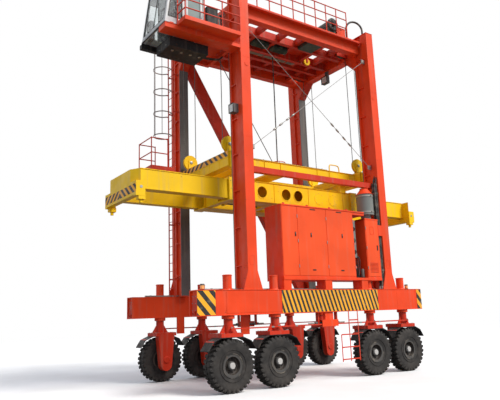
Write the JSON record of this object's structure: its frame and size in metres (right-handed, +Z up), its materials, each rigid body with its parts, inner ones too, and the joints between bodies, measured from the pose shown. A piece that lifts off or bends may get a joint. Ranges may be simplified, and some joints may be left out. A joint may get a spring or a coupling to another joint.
{
  "type": "straddle carrier",
  "caption": "Tall wheeled portal carrier with steered wheels, an overhead cab, a side engine housing and a telescopic container spreader hung on ropes.",
  "frame": {"origin": "centre of the machine on the ground", "axes": "+X along the machine towards the rear end, the cab is at -X; +Y across, the engine housing is at -Y; +Z up"},
  "size_m": [12.38, 5.602, 13.5099],
  "materials": {
    "orange_paint": "satin industrial paint",
    "yellow_paint": "satin industrial paint",
    "tyre": "worn tread",
    "cab_glass": "tinted safety glass",
    "dark_paint": "matt black paint",
    "grey_paint": "satin grey paint",
    "green_paint": "dull grey-green paint",
    "hose_rubber": "smooth rubber",
    "wire_rope": "greased wire rope",
    "rail_paint": "satin paint on tube"
  },
  "bodies": {
    "frame": {"sills": "orange_paint", "columns": "orange_paint", "top_frame": "orange_paint", "top_grid": "orange_paint", "handrails": "rail_paint", "bracing": "orange_paint", "cab_shell": "orange_paint", "cab_windows": "cab_glass", "cab_door": "grey_paint", "cab_platform": "orange_paint", "cab_service_box": "dark_paint", "ladders": "rail_paint", "engine_housing": "orange_paint", "control_cabinet": "orange_paint", "engine_ancillaries": "grey_paint", "hydraulic_hoses": "hose_rubber", "lamps": "grey_paint", "winches": "green_paint", "hoist_ropes": "wire_rope", "spreader_cable": "hose_rubber"},
    "lift": {"head_block": "yellow_paint", "head_sheaves": "yellow_paint", "cable_basket": "rail_paint", "spreader_frame": "yellow_paint"},
    "spreader_front": {"spreader_end_front": "yellow_paint"},
    "spreader_rear": {"spreader_end_rear": "yellow_paint"},
    "leg_front_near": {"leg_front_near": "orange_paint"},
    "wheel_front_near": {"wheel_front_near": "tyre"},
    "leg_front_far": {"leg_front_far": "orange_paint"},
    "wheel_front_far": {"wheel_front_far": "tyre"},
    "leg_front_inner_near": {"leg_front_inner_near": "orange_paint"},
    "wheel_front_inner_near": {"wheel_front_inner_near": "tyre"},
    "leg_front_inner_far": {"leg_front_inner_far": "orange_paint"},
    "wheel_front_inner_far": {"wheel_front_inner_far": "tyre"},
    "leg_rear_inner_near": {"leg_rear_inner_near": "orange_paint"},
    "wheel_rear_inner_near": {"wheel_rear_inner_near": "tyre"},
    "leg_rear_inner_far": {"leg_rear_inner_far": "orange_paint"},
    "wheel_rear_inner_far": {"wheel_rear_inner_far": "tyre"},
    "leg_rear_near": {"leg_rear_near": "orange_paint"},
    "wheel_rear_near": {"wheel_rear_near": "tyre"},
    "leg_rear_far": {"leg_rear_far": "orange_paint"},
    "wheel_rear_far": {"wheel_rear_far": "tyre"},
    "steer_rod_front_near": {"steer_rod_front_near": "orange_paint"},
    "steer_rod_front_far": {"steer_rod_front_far": "orange_paint"},
    "steer_rod_rear_near": {"steer_rod_rear_near": "orange_paint"},
    "steer_rod_rear_far": {"steer_rod_rear_far": "orange_paint"}
  },
  "joints": [
    {"name": "hoist", "type": "slide", "parent": "frame", "child": "lift", "axis": [0, 0, 1], "range_m": [-3.1, 3.3], "deforming": ["hoist_ropes", "spreader_cable"]},
    {"name": "telescope_front", "type": "slide", "parent": "lift", "child": "spreader_front", "axis": [1, 0, 0], "range_m": [0, 3.066]},
    {"name": "telescope_rear", "type": "slide", "parent": "lift", "child": "spreader_rear", "axis": [-1, 0, 0], "range_m": [0, 3.066]},
    {"name": "steer_front_near", "type": "hinge", "parent": "frame", "child": "leg_front_near", "pos_m": [-3.76, -2.215, 2.1], "axis": [0, 0, 1], "range_deg": [-25, 25]},
    {"name": "spin_front_near", "type": "hinge", "parent": "leg_front_near", "child": "wheel_front_near", "pos_m": [-3.76, -2.215, 0.745], "axis": [0, 1, 0], "continuous": true},
    {"name": "steer_front_far", "type": "hinge", "parent": "frame", "child": "leg_front_far", "pos_m": [-3.76, 2.215, 2.1], "axis": [0, 0, 1], "range_deg": [-25, 25]},
    {"name": "spin_front_far", "type": "hinge", "parent": "leg_front_far", "child": "wheel_front_far", "pos_m": [-3.76, 2.215, 0.745], "axis": [0, 1, 0], "continuous": true},
    {"name": "steer_front_inner_near", "type": "hinge", "parent": "frame", "child": "leg_front_inner_near", "pos_m": [-2.07, -2.215, 2.1], "axis": [0, 0, 1], "range_deg": [-25, 25]},
    {"name": "spin_front_inner_near", "type": "hinge", "parent": "leg_front_inner_near", "child": "wheel_front_inner_near", "pos_m": [-2.07, -2.215, 0.745], "axis": [0, 1, 0], "continuous": true},
    {"name": "steer_front_inner_far", "type": "hinge", "parent": "frame", "child": "leg_front_inner_far", "pos_m": [-2.07, 2.215, 2.1], "axis": [0, 0, 1], "range_deg": [-25, 25]},
    {"name": "spin_front_inner_far", "type": "hinge", "parent": "leg_front_inner_far", "child": "wheel_front_inner_far", "pos_m": [-2.07, 2.215, 0.745], "axis": [0, 1, 0], "continuous": true},
    {"name": "steer_rear_inner_near", "type": "hinge", "parent": "frame", "child": "leg_rear_inner_near", "pos_m": [2.07, -2.215, 2.1], "axis": [0, 0, 1], "range_deg": [-25, 25]},
    {"name": "spin_rear_inner_near", "type": "hinge", "parent": "leg_rear_inner_near", "child": "wheel_rear_inner_near", "pos_m": [2.07, -2.215, 0.745], "axis": [0, 1, 0], "continuous": true},
    {"name": "steer_rear_inner_far", "type": "hinge", "parent": "frame", "child": "leg_rear_inner_far", "pos_m": [2.07, 2.215, 2.1], "axis": [0, 0, 1], "range_deg": [-25, 25]},
    {"name": "spin_rear_inner_far", "type": "hinge", "parent": "leg_rear_inner_far", "child": "wheel_rear_inner_far", "pos_m": [2.07, 2.215, 0.745], "axis": [0, 1, 0], "continuous": true},
    {"name": "steer_rear_near", "type": "hinge", "parent": "frame", "child": "leg_rear_near", "pos_m": [3.76, -2.215, 2.1], "axis": [0, 0, 1], "range_deg": [-25, 25]},
    {"name": "spin_rear_near", "type": "hinge", "parent": "leg_rear_near", "child": "wheel_rear_near", "pos_m": [3.76, -2.215, 0.745], "axis": [0, 1, 0], "continuous": true},
    {"name": "steer_rear_far", "type": "hinge", "parent": "frame", "child": "leg_rear_far", "pos_m": [3.76, 2.215, 2.1], "axis": [0, 0, 1], "range_deg": [-25, 25]},
    {"name": "spin_rear_far", "type": "hinge", "parent": "leg_rear_far", "child": "wheel_rear_far", "pos_m": [3.76, 2.215, 0.745], "axis": [0, 1, 0], "continuous": true},
    {"name": "rod_front_near", "type": "hinge", "parent": "leg_front_near", "child": "steer_rod_front_near", "pos_m": [-3.76, -2.405, 1.7175], "axis": [0, 0, 1], "range_deg": [-25, 25]},
    {"name": "rod_front_far", "type": "hinge", "parent": "leg_front_far", "child": "steer_rod_front_far", "pos_m": [-3.76, 2.405, 1.7175], "axis": [0, 0, 1], "range_deg": [-25, 25]},
    {"name": "rod_rear_near", "type": "hinge", "parent": "leg_rear_near", "child": "steer_rod_rear_near", "pos_m": [3.76, -2.405, 1.7175], "axis": [0, 0, 1], "range_deg": [-25, 25]},
    {"name": "rod_rear_far", "type": "hinge", "parent": "leg_rear_far", "child": "steer_rod_rear_far", "pos_m": [3.76, 2.405, 1.7175], "axis": [0, 0, 1], "range_deg": [-25, 25]}
  ],
  "couplings": [
    {"joint": "telescope_rear", "follows": "telescope_front", "ratio": 1},
    {"joint": "steer_front_far", "follows": "steer_front_near", "ratio": 1},
    {"joint": "steer_front_inner_near", "follows": "steer_front_near", "ratio": 1},
    {"joint": "steer_front_inner_far", "follows": "steer_front_near", "ratio": 1},
    {"joint": "steer_rear_inner_near", "follows": "steer_front_near", "ratio": -1},
    {"joint": "steer_rear_inner_far", "follows": "steer_front_near", "ratio": -1},
    {"joint": "steer_rear_near", "follows": "steer_front_near", "ratio": -1},
    {"joint": "steer_rear_far", "follows": "steer_front_near", "ratio": -1},
    {"joint": "rod_front_near", "follows": "steer_front_near", "ratio": -1},
    {"joint": "rod_front_far", "follows": "steer_front_near", "ratio": -1},
    {"joint": "rod_rear_near", "follows": "steer_front_near", "ratio": 1},
    {"joint": "rod_rear_far", "follows": "steer_front_near", "ratio": 1}
  ]
}
